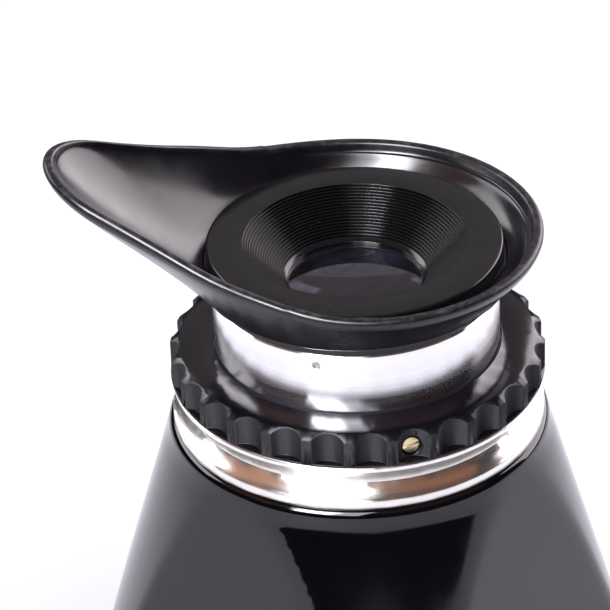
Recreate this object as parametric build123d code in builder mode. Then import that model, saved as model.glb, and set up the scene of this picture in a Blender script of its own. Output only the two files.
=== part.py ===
"""Magnifying viewfinder hood for a 6x6 cm camera.

A rigid tapered housing stands on the camera's screen.  A magnifier tube
slides in its neck, driven by a cam sleeve that the fluted ring turns.
A winged rubber eyecup turns freely on the eyepiece head.

Millimetres, +Z up.  The origin is on the optical axis at the underside of
the foot, and the sides of the square foot run along X and Y.
"""

import os
from math import cos, radians, sin, sqrt

from build123d import *

os.makedirs("parts", exist_ok=True)

# ------------------------------------------------------------------ heights
foot_height = 4.5  # foot frame, from the underside to the housing
housing_height = 57.4  # housing, from the foot frame to its shoulder
mount_height = 7.4  # visible height of the chromed neck ring
ring_height = 5.6  # fluted focusing ring
tube_exposed = 10.1  # tube showing above the focusing ring at rest
head_rise = 7.4  # eyepiece head above the end of the tube

# ------------------------------------------- tube, sleeves and rings, outward
tube_r = 22.5  # outside of the sliding tube
tube_wall = 1.6
guide_wall = 1.02  # guide sleeve around the tube
cam_wall = 1.32  # cam sleeve around the guide sleeve
ring_wall = 4.6  # focusing ring, from the cam sleeve to its lands
mount_setback = 0.1  # lips of the neck ring, inside the lands of the focusing ring

# --------------------------------------------------------------- clearances
slide_gap = 0.08  # radial clearance of a running or sliding fit
free_gap = 0.3  # clearance where parts pass and never bear
face_gap = 0.1  # axial clearance between faces that turn on each other
overcut = 1.0  # how far a cut runs past the surface that it opens

# ------------------------------------------------------------------ housing
shoulder_ledge = 0.38  # cone of the corners outside the neck ring, at the shoulder
flat_ledge = 0.7  # flats outside the neck ring, at the shoulder
housing_wall = 1.8
neck_plate = 3.0  # thickness of the plate that carries the neck ring
shoulder_round = 1.2
flange_height = 3.5  # inward flange that the foot is screwed to
flange_width = 7.15  # from the side of the foot to the flange's square window
window_round = 5.0

# --------------------------------------------------------------------- foot
foot_half = 35.65  # the square foot, from the axis to its sides
corner_cut = 3.84  # round corners inside the sharp ones
foot_border = 7.65  # from the side of the foot to its window
mask_border = 6.05  # from the side of the foot to the edge of the mask
mask_lip = 0.75  # mask inside the window of the foot
mask_thickness = 0.5
groove_depth = 2.2  # groove along each side, over the rail
groove_height = 1.2
foot_screw_inset = 4.75  # corner screws, from the sides of the foot
foot_screw_r = 1.0
foot_screw_head_r = 1.9
foot_screw_grip = 2.1  # length inside the flange of the housing
foot_slot_width = 0.45
foot_slot_depth = 0.5

# --------------------------------------------------------- steel side rails
rail_width = 4.15
rail_thickness = 0.8
rail_setback = 2.98  # ends of the rails, inside the ends of the flats
rail_corner = 0.5
rail_screw_r = 0.5
rail_screw_pitch = 22.0
rail_screw_count = 3

# ---------------------------------------------------------------- neck ring
valley_depth = 2.2  # V groove around the ring
valley_drop = 3.8  # bottom of the groove, below the top of the ring
upper_lip = 0.7
upper_lip_setback = 0.1
lower_lip = 1.5
lower_lip_bevel = 0.5
lower_lip_bevel_rise = 0.2
skirt_depth = 11.9  # skirt below the shoulder
skirt_wall = 0.9
nut_height = 3.0
spanner_slot_count = 4
spanner_slot_length = 3.0
spanner_slot_width = 2.0
spanner_slot_depth = 1.2

# ------------------------------------------------------- guide and cam sleeve
collar_step = 1.22  # step of the neck ring that keeps the collar in
collar_gap = 0.2
collar_thickness = 1.2  # collar of the cam sleeve
flange_thickness = 2.4  # bottom flange of the guide sleeve
sleeve_screw_setback = 1.0  # inner end of the flange screws, from the bore
sleeve_screw_recess = 0.2  # outer end of the flange screws, below the skirt

# ------------------------------------------------------------ focusing ring
flute_count = 28
flute_depth = 1.4
flute_share = 0.75  # share of the pitch that a flute takes
flute_foot = 0.55  # plain edge left below the flutes
ring_top_plate = 1.5
ring_bevel_width = 1.7
ring_bevel_drop = 1.0
ring_foot_bevel = 0.3
ring_screw_angle = -35.4  # the first of two opposite screws
ring_screw_rise = 2.5  # screws above the bottom of the ring
ring_screw_seat = 1.0  # seat of a screw head below the bottom of its flute
ring_screw_bore_r = 1.73
ring_screw_head_r = 1.33
ring_screw_head_height = 0.9
ring_screw_shank_r = 0.8
ring_screw_setback = 0.1  # end of the shank inside the cam sleeve
ring_screw_count = 2
ring_slot_width = 0.36
ring_slot_depth = 0.4
ring_slot_turn = 15

# ------------------------------------------------------------------- motion
focus_travel = 10.0  # tube travel for the whole turn
focus_turn = 100.0  # degrees from stop to stop
focus_down = 3.0  # travel below the rest position
pin_r = 1.0
pin_count = 3
pin_gap = 0.08  # each side of a pin in its slot
pin_setback = 0.15  # end of a pin inside the cam sleeve's surface
pin_drop = 14.0  # resting pins below the top of the focusing ring
first_pin_angle = 20.0
tube_below = 30.0  # tube below the top of the focusing ring at rest

# ------------------------------------------------------------ eyepiece head
head_overhang = 0.7  # flange of the head outside the tube
head_chamfer = 0.4
flange_edge = 2.5
neck_step = 0.7  # waist that the eyecup turns on, inside the tube's surface
tube_chamfer = 0.25
cone_border = 4.4  # waist to the upper edge of the stepped cone
cone_steps = 16
cone_depth = 6.2
shelf_thickness = 0.9
set_screw_angle = -67.8
set_screw_count = 3
set_screw_drop = 1.9
set_screw_r = 0.7
set_screw_recess = 0.1
set_screw_dimple = 0.8
set_screw_turn = 55
small_slot_width = 0.25
small_slot_depth = 0.4

# ------------------------------------------------------------------- lenses
cell_wall = 4.55  # head around its lenses
lens_edge_gap = 0.05
lens_seat = 5.7  # shelf over the edge of the eye lens
opening_gap = 0.2  # crown of the eye lens inside the opening of the shelf
spacer_wall = 1.4
rim_flat = 0.8  # flat rim that a lens bears on
eye_lens_edge = 6.0
crown_edge = 4.5
flint_centre = 1.3  # thickness on the axis
lens_air_gap = 0.78  # between the two facing bulges
eye_bulge_r = 70.0  # radius of the eye lens's upper face
back_bulge_r = 90.0  # radius of the two facing bulges
cement_r = 48.0  # radius of the cemented faces
retainer_height = 1.6
retainer_slot_width = 1.0
retainer_slot_depth = 0.7
cell_lip = 1.55  # cell below the retainer

# ------------------------------------------------------------------- eyecup
washer_height = 2.0
washer_setback = 0.1
lip_gap = 0.4  # lip of the cup below the flange of the head
cup_foot_step = 1.3  # foot of the cup outside the flange of the head
cup_flare = 4.2  # rim outside the foot, away from the wing
cup_wall = 1.7
slope_share = 1.15  # level thickness of the sloping wall, for each mm of wall
knee_rise = 0.96  # middle section of the cup, above its lip
rim_height = 7.8  # rim above the bottom of the cup
wing_angle = -137.1  # direction of the wing
wing_length = 18.6  # tip of the wing beyond the rim
wing_tip_r = 20.0
wing_rise = 14.3  # tip of the wing above the rim
crest_shape = [(0.05, 0.0), (0.52, 0.35), (0.92, 0.93), (1.05, 1.02)]  # shares of reach and rise
cup_overheight = 3.0  # blank above the tip, before the rim is trimmed
trim_margin = 10.0

# ------------------------------------------------------------- derived radii
tube_inner_r = tube_r - tube_wall
guide_r = tube_r + slide_gap
cam_r = guide_r + guide_wall + slide_gap
sleeve_r = cam_r + cam_wall
bore_r = sleeve_r + slide_gap
collar_recess_r = bore_r + collar_step
skirt_r = collar_recess_r + skirt_wall
ring_r = sleeve_r + ring_wall
flute_root_r = ring_r - flute_depth
screw_seat_r = flute_root_r - ring_screw_seat
mount_r = ring_r - mount_setback
valley_r = mount_r - valley_depth
shoulder_r = mount_r + shoulder_ledge
shoulder_half = mount_r + flat_ledge
nut_r = shoulder_half - housing_wall
foot_corner_r = sqrt(2) * foot_half - corner_cut
window_half = foot_half - flange_width
foot_window_half = foot_half - foot_border
mask_half = foot_half - mask_border
mask_window_half = foot_window_half - mask_lip
rail_seat = foot_half - rail_width
rail_screw_x = rail_seat + (rail_width - groove_depth) / 2
rail_length = 2 * (sqrt(foot_corner_r**2 - foot_half**2) - rail_setback)
foot_screw_place = foot_half - foot_screw_inset
foot_screw_length = foot_height + foot_screw_grip
corner_taper = (foot_corner_r - shoulder_r) / housing_height
flat_taper = (foot_half - shoulder_half) / housing_height
head_r = tube_r + head_overhang
neck_r = tube_r - neck_step
cone_top_r = neck_r - cone_border
lens_cell_r = tube_inner_r - cell_wall
lens_r = lens_cell_r - lens_edge_gap
eye_opening_r = lens_r - lens_seat
spacer_r = lens_r - spacer_wall
bulge_r = spacer_r - rim_flat
cup_foot_r = head_r + cup_foot_step
cup_r = cup_foot_r + cup_flare
wing_reach = cup_r + wing_length


def cap_height(sphere_r, rim_r):
    """Height of a spherical cap."""
    return sphere_r - sqrt(sphere_r**2 - rim_r**2)


# ----------------------------------------------------------- derived heights
shoulder_z = foot_height + housing_height
mount_top_z = shoulder_z + mount_height
ring_bottom_z = mount_top_z + face_gap
ring_top_z = ring_bottom_z + ring_height
tube_top_z = ring_top_z + tube_exposed
tube_bottom_z = ring_top_z - tube_below
head_top_z = tube_top_z + head_rise
neck_top_z = head_top_z - flange_edge
skirt_z = shoulder_z - skirt_depth
flange_top_z = skirt_z + flange_thickness
sleeve_screw_z = skirt_z + flange_thickness / 2
collar_z = flange_top_z + free_gap
step_z = collar_z + collar_thickness + face_gap
sleeve_top_z = ring_top_z - ring_top_plate
guide_top_z = sleeve_top_z - free_gap
nut_z = shoulder_z - neck_plate - nut_height
ring_screw_z = ring_bottom_z + ring_screw_rise
pin_z = ring_top_z - pin_drop
set_screw_z = tube_top_z - set_screw_drop
shelf_z = head_top_z - cone_depth - shelf_thickness
eye_bottom_z = shelf_z - eye_lens_edge
spacer_length = 2 * cap_height(back_bulge_r, bulge_r) + lens_air_gap
crown_top_z = eye_bottom_z - spacer_length
crown_edge_z = crown_top_z - crown_edge
flint_bottom_z = crown_edge_z - cap_height(cement_r, lens_r) - flint_centre
retainer_z = flint_bottom_z - retainer_height
spigot_z = retainer_z - cell_lip
cup_bottom_z = tube_top_z + washer_height + face_gap
lip_height = neck_top_z - lip_gap - cup_bottom_z
rim_z = cup_bottom_z + rim_height
tip_z = rim_z + wing_rise
loft_z = tip_z + cup_overheight

slot_width = 2 * (pin_r + pin_gap)
pin_angles = [first_pin_angle + 360 / pin_count * i for i in range(pin_count)]
ring_screw_angles = [ring_screw_angle + 360 / ring_screw_count * i for i in range(ring_screw_count)]
set_screw_angles = [set_screw_angle + 360 / set_screw_count * i for i in range(set_screw_count)]


def radial(angle, z, r):
    """A plane at radius r whose normal points straight out."""
    a = radians(angle)
    out = (cos(a), sin(a), 0)
    return Plane(origin=(r * cos(a), r * sin(a), z), x_dir=(-sin(a), cos(a), 0), z_dir=out)


def finish(builder, name):
    """Label a finished piece and write it."""
    builder.part.label = name
    export_step(builder.part, f"parts/{name}.step")


# ------------------------------------------------------------ housing shell
with BuildPart() as housing_shell:
    # cone that rounds the corners
    with BuildSketch(Plane.XZ):
        with BuildLine():
            Polyline(
                (0, foot_height),
                (foot_corner_r, foot_height),
                (shoulder_r, shoulder_z),
                (0, shoulder_z),
                close=True,
            )
        make_face()
    revolve(axis=Axis.Z)
    fillet(housing_shell.edges().group_by(Axis.Z)[-1], shoulder_round)
    # four flats
    with BuildSketch(Plane.XY.offset(foot_height)):
        Rectangle(2 * foot_half, 2 * foot_half)
    with BuildSketch(Plane.XY.offset(shoulder_z)):
        Rectangle(2 * shoulder_half, 2 * shoulder_half)
    loft(mode=Mode.INTERSECT)

with BuildPart() as chamber:
    # the hollow, one wall inside the same cone and flats
    low = foot_height + flange_height
    high = shoulder_z - neck_plate
    with BuildSketch(Plane.XZ):
        with BuildLine():
            Polyline(
                (0, low),
                (shoulder_r + corner_taper * (shoulder_z - low) - housing_wall, low),
                (shoulder_r + corner_taper * (shoulder_z - high) - housing_wall, high),
                (0, high),
                close=True,
            )
        make_face()
    revolve(axis=Axis.Z)
    low_half = shoulder_half + flat_taper * (shoulder_z - low) - housing_wall
    high_half = shoulder_half + flat_taper * (shoulder_z - high) - housing_wall
    with BuildSketch(Plane.XY.offset(low)):
        Rectangle(2 * low_half, 2 * low_half)
    with BuildSketch(Plane.XY.offset(high)):
        Rectangle(2 * high_half, 2 * high_half)
    loft(mode=Mode.INTERSECT)

with housing_shell:
    add(chamber.part, mode=Mode.SUBTRACT)
    # square window in the bottom flange
    with BuildSketch(Plane.XY.offset(foot_height)):
        RectangleRounded(2 * window_half, 2 * window_half, window_round)
    extrude(amount=flange_height, mode=Mode.SUBTRACT)
    # bore for the skirt of the neck ring
    with BuildSketch(Plane.XY.offset(shoulder_z - neck_plate)):
        Circle(skirt_r)
    extrude(amount=neck_plate, mode=Mode.SUBTRACT)
    # tapped holes for the foot screws
    with BuildSketch(Plane.XY.offset(foot_height)):
        with GridLocations(2 * foot_screw_place, 2 * foot_screw_place, 2, 2):
            Circle(foot_screw_r)
    extrude(amount=foot_screw_grip, mode=Mode.SUBTRACT)
finish(housing_shell, "housing_shell")

# --------------------------------------------------------------- foot frame
with BuildPart() as foot_frame:
    with BuildSketch():
        Rectangle(2 * foot_half, 2 * foot_half)
        Circle(foot_corner_r, mode=Mode.INTERSECT)
        RectangleRounded(
            2 * foot_window_half, 2 * foot_window_half, window_round, mode=Mode.SUBTRACT
        )
    extrude(amount=foot_height)
    for side in (-1, 1):
        # seat of the steel rail, and the groove above it
        with BuildSketch():
            with Locations((side * (rail_seat + rail_width / 2), 0)):
                Rectangle(rail_width, rail_length + 2 * free_gap)
        extrude(amount=rail_thickness, mode=Mode.SUBTRACT)
        with BuildSketch(Plane.XY.offset(rail_thickness)):
            with Locations((side * (foot_half - groove_depth / 2), 0)):
                Rectangle(groove_depth, 2 * foot_half)
        extrude(amount=groove_height, mode=Mode.SUBTRACT)
        # tapped holes of the rail
        with BuildSketch(Plane.XY.offset(rail_thickness)):
            with Locations((side * rail_screw_x, 0)):
                with GridLocations(1, rail_screw_pitch, 1, rail_screw_count):
                    Circle(rail_screw_r)
        extrude(amount=groove_height, mode=Mode.SUBTRACT)
    # seat of the screen mask
    with BuildSketch(Plane.XY.offset(foot_height - mask_thickness)):
        RectangleRounded(2 * mask_half, 2 * mask_half, window_round)
    extrude(amount=mask_thickness, mode=Mode.SUBTRACT)
    # countersunk holes of the foot screws
    with Locations(Plane((0, 0, 0), x_dir=(1, 0, 0), z_dir=(0, 0, -1))):
        with GridLocations(2 * foot_screw_place, 2 * foot_screw_place, 2, 2):
            CounterSinkHole(foot_screw_r, foot_screw_head_r, depth=foot_height)
finish(foot_frame, "foot_frame")

with BuildPart() as foot_screw:
    with BuildSketch(Plane.XZ):
        with BuildLine():
            Polyline(
                (0, 0),
                (foot_screw_head_r, 0),
                (foot_screw_r, foot_screw_head_r - foot_screw_r),
                (foot_screw_r, foot_screw_length),
                (0, foot_screw_length),
                close=True,
            )
        make_face()
    revolve(axis=Axis.Z)
    with BuildSketch():
        Rectangle(2 * foot_screw_head_r, foot_slot_width)
    extrude(amount=foot_slot_depth, mode=Mode.SUBTRACT)
with BuildPart() as foot_screws:
    with GridLocations(2 * foot_screw_place, 2 * foot_screw_place, 2, 2):
        add(foot_screw.part)
finish(foot_screws, "foot_screws")

with BuildPart() as screen_mask:
    with BuildSketch(Plane.XY.offset(foot_height - mask_thickness)):
        RectangleRounded(2 * mask_half, 2 * mask_half, window_round)
        Rectangle(2 * mask_window_half, 2 * mask_window_half, mode=Mode.SUBTRACT)
    extrude(amount=mask_thickness)
finish(screen_mask, "screen_mask")

# ---------------------------------------------------------- steel side rails
for side, rail_name in ((-1, "foot_rail_left"), (1, "foot_rail_right")):
    with BuildPart() as foot_rail:
        with BuildSketch():
            with Locations((side * (rail_seat + rail_width / 2), 0)):
                RectangleRounded(rail_width, rail_length, rail_corner)
        extrude(amount=rail_thickness)
        with BuildSketch():
            with Locations((side * rail_screw_x, 0)):
                with GridLocations(1, rail_screw_pitch, 1, rail_screw_count):
                    Circle(rail_screw_r)
        extrude(amount=rail_thickness, mode=Mode.SUBTRACT)
    finish(foot_rail, rail_name)

with BuildPart() as rail_screws:
    with BuildSketch():
        with GridLocations(2 * rail_screw_x, rail_screw_pitch, 2, rail_screw_count):
            Circle(rail_screw_r)
    extrude(amount=rail_thickness + groove_height)
finish(rail_screws, "rail_screws")

# ---------------------------------------------------------------- neck ring
with BuildPart() as mount_ring:
    with BuildSketch(Plane.XZ):
        with BuildLine():
            Polyline(
                (bore_r, step_z),
                (collar_recess_r, step_z),
                (collar_recess_r, skirt_z),
                (skirt_r, skirt_z),
                (skirt_r, shoulder_z),
                (mount_r, shoulder_z),
                (mount_r, shoulder_z + lower_lip),
                (mount_r - lower_lip_bevel, shoulder_z + lower_lip + lower_lip_bevel_rise),
                (valley_r, mount_top_z - valley_drop),
                (mount_r - upper_lip_setback, mount_top_z - upper_lip),
                (mount_r - upper_lip_setback, mount_top_z),
                (bore_r, mount_top_z),
                close=True,
            )
        make_face()
    revolve(axis=Axis.Z)
    # holes for the screws that hold the guide sleeve
    for angle in pin_angles:
        with BuildSketch(radial(angle, sleeve_screw_z, 0)):
            Circle(set_screw_r)
        extrude(amount=skirt_r + overcut, mode=Mode.SUBTRACT)
finish(mount_ring, "mount_ring")

with BuildPart() as mount_nut:
    with BuildSketch(Plane.XY.offset(nut_z)):
        Circle(nut_r)
        Circle(skirt_r, mode=Mode.SUBTRACT)
    extrude(amount=nut_height)
    # spanner slots
    with BuildSketch(Plane.XY.offset(nut_z)):
        with PolarLocations(nut_r, spanner_slot_count):
            Rectangle(spanner_slot_length, spanner_slot_width)
    extrude(amount=spanner_slot_depth, mode=Mode.SUBTRACT)
finish(mount_nut, "mount_nut")

# ------------------------------------------------------------- guide sleeve
with BuildPart() as guide_sleeve:
    with BuildSketch(Plane.XZ):
        with BuildLine():
            Polyline(
                (guide_r, skirt_z),
                (collar_recess_r, skirt_z),
                (collar_recess_r, flange_top_z),
                (guide_r + guide_wall, flange_top_z),
                (guide_r + guide_wall, guide_top_z),
                (guide_r, guide_top_z),
                close=True,
            )
        make_face()
    revolve(axis=Axis.Z)
    slot_middle_z = pin_z - focus_down + focus_travel / 2
    for angle in pin_angles:
        # straight slot that keeps the tube from turning
        with BuildSketch(radial(angle, slot_middle_z, 0)):
            SlotCenterToCenter(focus_travel + 2 * pin_gap, slot_width, rotation=90)
        extrude(amount=guide_r + guide_wall + overcut, mode=Mode.SUBTRACT)
        with BuildSketch(radial(angle, sleeve_screw_z, 0)):
            Circle(set_screw_r)
        extrude(amount=collar_recess_r + overcut, mode=Mode.SUBTRACT)
finish(guide_sleeve, "guide_sleeve")

with BuildPart() as guide_sleeve_screws:
    for angle in pin_angles:
        inner_end = guide_r + sleeve_screw_setback
        outer_end = skirt_r - sleeve_screw_recess
        with BuildSketch(radial(angle, sleeve_screw_z, inner_end)):
            Circle(set_screw_r)
        extrude(amount=outer_end - inner_end)
        with BuildSketch(radial(angle, sleeve_screw_z, outer_end - small_slot_depth)):
            Rectangle(2 * set_screw_r, small_slot_width)
        extrude(amount=overcut, mode=Mode.SUBTRACT)
finish(guide_sleeve_screws, "guide_sleeve_screws")

# --------------------------------------------------------------- cam sleeve
cam_pitch = focus_travel * 360 / focus_turn
cutter_r = cam_r + cam_wall / 2
turn_down = focus_turn * focus_down / focus_travel
with BuildPart() as cam_cutter:
    # one pin's sweep: the helix starts where the pin is lowest
    with BuildLine() as cam_path:
        Helix(cam_pitch, focus_travel, cutter_r, lefthand=True)
    with BuildSketch(cam_path.line ^ 0):
        Rectangle(cam_wall + 2 * overcut, slot_width)
    sweep(path=cam_path.line, is_frenet=True)
with BuildPart() as cam_sleeve:
    with BuildSketch(Plane.XZ):
        with BuildLine():
            Polyline(
                (cam_r, collar_z),
                (collar_recess_r - collar_gap, collar_z),
                (collar_recess_r - collar_gap, collar_z + collar_thickness),
                (sleeve_r, collar_z + collar_thickness),
                (sleeve_r, sleeve_top_z),
                (cam_r, sleeve_top_z),
                close=True,
            )
        make_face()
    revolve(axis=Axis.Z)
    for angle in pin_angles:
        # as the sleeve turns one way, the slot lifts the pin
        with Locations(Location((0, 0, pin_z - focus_down), (0, 0, angle + turn_down))):
            add(cam_cutter.part, mode=Mode.SUBTRACT)
        for share in (0, 1):
            # round ends of the slot
            turn = turn_down - share * focus_turn
            lift = share * focus_travel - focus_down
            with BuildSketch(radial(angle + turn, pin_z + lift, 0)):
                Circle(slot_width / 2)
            extrude(amount=sleeve_r + overcut, mode=Mode.SUBTRACT)
    # tapped holes of the brass screws
    for angle in ring_screw_angles:
        with BuildSketch(radial(angle, ring_screw_z, 0)):
            Circle(ring_screw_shank_r)
        extrude(amount=sleeve_r + overcut, mode=Mode.SUBTRACT)
finish(cam_sleeve, "cam_sleeve")

# ------------------------------------------------------------ focusing ring
with BuildPart() as focus_ring:
    with BuildSketch(Plane.XZ):
        with BuildLine():
            Polyline(
                (sleeve_r, ring_bottom_z),
                (ring_r - ring_foot_bevel, ring_bottom_z),
                (ring_r, ring_bottom_z + ring_foot_bevel),
                (ring_r, ring_top_z - ring_bevel_drop),
                (ring_r - ring_bevel_width, ring_top_z),
                (tube_r + free_gap, ring_top_z),
                (tube_r + free_gap, sleeve_top_z),
                (sleeve_r, sleeve_top_z),
                close=True,
            )
        make_face()
    revolve(axis=Axis.Z)
    # round-bottomed flutes
    flute_half_angle = radians(180 / flute_count * flute_share)
    half_chord = ring_r * sin(flute_half_angle)
    sagitta = ring_r * cos(flute_half_angle) - flute_root_r
    flute_r = (half_chord**2 + sagitta**2) / (2 * sagitta)
    with BuildSketch(Plane.XY.offset(ring_bottom_z + flute_foot)):
        with PolarLocations(flute_root_r + flute_r, flute_count, start_angle=ring_screw_angle):
            Circle(flute_r)
    extrude(amount=ring_height - flute_foot, mode=Mode.SUBTRACT)
    # stepped holes of the brass screws
    for angle in ring_screw_angles:
        with BuildSketch(radial(angle, ring_screw_z, 0)):
            Circle(ring_screw_shank_r)
        extrude(amount=screw_seat_r + overcut, mode=Mode.SUBTRACT)
        with BuildSketch(radial(angle, ring_screw_z, screw_seat_r)):
            Circle(ring_screw_bore_r)
        extrude(amount=ring_r + overcut - screw_seat_r, mode=Mode.SUBTRACT)
finish(focus_ring, "focus_ring")

with BuildPart() as focus_ring_screws:
    for angle in ring_screw_angles:
        with BuildSketch(radial(angle, ring_screw_z, cam_r + ring_screw_setback)):
            Circle(ring_screw_shank_r)
        extrude(amount=screw_seat_r - cam_r)
        head_plane = radial(angle, ring_screw_z, screw_seat_r)
        with BuildSketch(head_plane):
            Circle(ring_screw_head_r)
        extrude(amount=ring_screw_head_height)
        with BuildSketch(head_plane.offset(ring_screw_head_height - ring_slot_depth)):
            Rectangle(3 * ring_screw_head_r, ring_slot_width, rotation=ring_slot_turn)
        extrude(amount=overcut, mode=Mode.SUBTRACT)
finish(focus_ring_screws, "focus_ring_screws")

# ------------------------------------------------------------ eyepiece tube
with BuildPart() as eyepiece_tube:
    with BuildSketch(Plane.XY.offset(tube_bottom_z)):
        Circle(tube_r)
        Circle(tube_inner_r, mode=Mode.SUBTRACT)
    extrude(amount=tube_top_z - tube_bottom_z)
    chamfer(eyepiece_tube.edges().group_by(Axis.Z)[-1].sort_by(SortBy.RADIUS)[-1], tube_chamfer)
    # tapped holes of the cam pins and of the set screws
    for angle in pin_angles:
        with BuildSketch(radial(angle, pin_z, 0)):
            Circle(pin_r)
        extrude(amount=tube_r + overcut, mode=Mode.SUBTRACT)
    for angle in set_screw_angles:
        with BuildSketch(radial(angle, set_screw_z, 0)):
            Circle(set_screw_r)
        extrude(amount=tube_r + overcut, mode=Mode.SUBTRACT)
finish(eyepiece_tube, "eyepiece_tube")

with BuildPart() as cam_pins:
    for angle in pin_angles:
        with BuildSketch(radial(angle, pin_z, tube_inner_r)):
            Circle(pin_r)
        extrude(amount=sleeve_r - pin_setback - tube_inner_r)
finish(cam_pins, "cam_pins")

# ------------------------------------------------------------ eyepiece head
with BuildPart() as eyepiece_head:
    with BuildSketch(Plane.XZ):
        with BuildLine():
            # stepped cone that kills reflections, from the top inward
            step_in = (cone_top_r - eye_opening_r) / cone_steps
            step_down = cone_depth / cone_steps
            stairs = []
            for i in range(cone_steps):
                r = cone_top_r - step_in * i
                z = head_top_z - step_down * i
                stairs += [(r, z), (r, z - step_down)]
            Polyline(
                *stairs,
                (eye_opening_r, head_top_z - cone_depth),
                (eye_opening_r, shelf_z),
                (lens_cell_r, shelf_z),
                (lens_cell_r, spigot_z),
                (tube_inner_r, spigot_z),
                (tube_inner_r, tube_top_z),
                (neck_r, tube_top_z),
                (neck_r, neck_top_z),
                (head_r, neck_top_z),
                (head_r, head_top_z - head_chamfer),
                (head_r - head_chamfer, head_top_z),
                close=True,
            )
        make_face()
    revolve(axis=Axis.Z)
    # dimples for the set screws
    for angle in set_screw_angles:
        with BuildSketch(radial(angle, set_screw_z, tube_inner_r - set_screw_dimple)):
            Circle(set_screw_r)
        extrude(amount=set_screw_dimple + overcut, mode=Mode.SUBTRACT)
finish(eyepiece_head, "eyepiece_head")

with BuildPart() as head_set_screws:
    for angle in set_screw_angles:
        inner_end = tube_inner_r - set_screw_dimple
        outer_end = tube_r - set_screw_recess
        with BuildSketch(radial(angle, set_screw_z, inner_end)):
            Circle(set_screw_r)
        extrude(amount=outer_end - inner_end)
        with BuildSketch(radial(angle, set_screw_z, outer_end - small_slot_depth)):
            Rectangle(2 * set_screw_r, small_slot_width, rotation=set_screw_turn)
        extrude(amount=overcut, mode=Mode.SUBTRACT)
finish(head_set_screws, "head_set_screws")

# ------------------------------------------------------------------- lenses
def cap_arc(rim_r, rim_z, sphere_r, up):
    """Arc from the rim of a spherical face to the axis."""
    rise = cap_height(sphere_r, rim_r) * up
    half = rim_r / 2
    mid = rim_z + rise - up * cap_height(sphere_r, half)
    return ThreePointArc((rim_r, rim_z), (half, mid), (0, rim_z + rise))


with BuildPart() as eye_lens:
    crown_r = eye_opening_r - opening_gap
    with BuildSketch(Plane.XZ):
        with BuildLine():
            top = cap_arc(crown_r, shelf_z, eye_bulge_r, 1)
            Line((crown_r, shelf_z), (lens_r, shelf_z))
            Line((lens_r, shelf_z), (lens_r, eye_bottom_z))
            Line((lens_r, eye_bottom_z), (bulge_r, eye_bottom_z))
            under = cap_arc(bulge_r, eye_bottom_z, back_bulge_r, -1)
            Line(top @ 1, under @ 1)
        make_face()
    revolve(axis=Axis.Z)
finish(eye_lens, "eye_lens")

with BuildPart() as lens_spacer:
    with BuildSketch(Plane.XY.offset(crown_top_z)):
        Circle(lens_r)
        Circle(spacer_r, mode=Mode.SUBTRACT)
    extrude(amount=spacer_length)
finish(lens_spacer, "lens_spacer")

with BuildPart() as doublet_crown:
    with BuildSketch(Plane.XZ):
        with BuildLine():
            top = cap_arc(bulge_r, crown_top_z, back_bulge_r, 1)
            Line((bulge_r, crown_top_z), (lens_r, crown_top_z))
            Line((lens_r, crown_top_z), (lens_r, crown_edge_z))
            under = cap_arc(lens_r, crown_edge_z, cement_r, -1)
            Line(top @ 1, under @ 1)
        make_face()
    revolve(axis=Axis.Z)
finish(doublet_crown, "doublet_crown")

with BuildPart() as doublet_flint:
    with BuildSketch(Plane.XZ):
        with BuildLine():
            top = cap_arc(lens_r, crown_edge_z, cement_r, -1)
            Line((lens_r, crown_edge_z), (lens_r, flint_bottom_z))
            Line((lens_r, flint_bottom_z), (0, flint_bottom_z))
            Line((0, flint_bottom_z), top @ 1)
        make_face()
    revolve(axis=Axis.Z)
finish(doublet_flint, "doublet_flint")

with BuildPart() as lens_retainer:
    with BuildSketch(Plane.XY.offset(retainer_z)):
        Circle(lens_cell_r)
        Circle(spacer_r, mode=Mode.SUBTRACT)
    extrude(amount=retainer_height)
    with BuildSketch(Plane.XY.offset(retainer_z)):
        Rectangle(2 * lens_cell_r, retainer_slot_width)
    extrude(amount=retainer_slot_depth, mode=Mode.SUBTRACT)
finish(lens_retainer, "lens_retainer")

# ------------------------------------------------------------------- eyecup
with BuildPart() as cup_washer:
    with BuildSketch(Plane.XY.offset(tube_top_z)):
        Circle(tube_r - washer_setback)
        Circle(neck_r, mode=Mode.SUBTRACT)
    extrude(amount=washer_height)
finish(cup_washer, "cup_washer")

side_flare = (cup_r - cup_foot_r) / rim_height
wing_flare = (wing_reach - cup_foot_r) / (tip_z - cup_bottom_z)
wing_dir = (cos(radians(wing_angle)), sin(radians(wing_angle)), 0)
side_dir = (wing_dir[1], -wing_dir[0], 0)


def cup_plane(z):
    """A level plane whose x axis points along the wing."""
    return Plane(origin=(0, 0, z), x_dir=wing_dir, z_dir=(0, 0, 1))


def cup_section(z, inset):
    """Level section of the cup: a round body drawn out into the wing."""
    rise = z - cup_bottom_z
    body_r = cup_foot_r + side_flare * rise
    reach = cup_foot_r + wing_flare * rise
    tip_place = max(reach, body_r + face_gap) - wing_tip_r
    with BuildSketch(cup_plane(z)) as section:
        with BuildSketch(mode=Mode.PRIVATE) as rounds:
            Circle(body_r - inset)
            with Locations((tip_place, 0)):
                Circle(wing_tip_r - inset)
        make_hull(rounds.sketch.edges())
    return section.sketch


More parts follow.
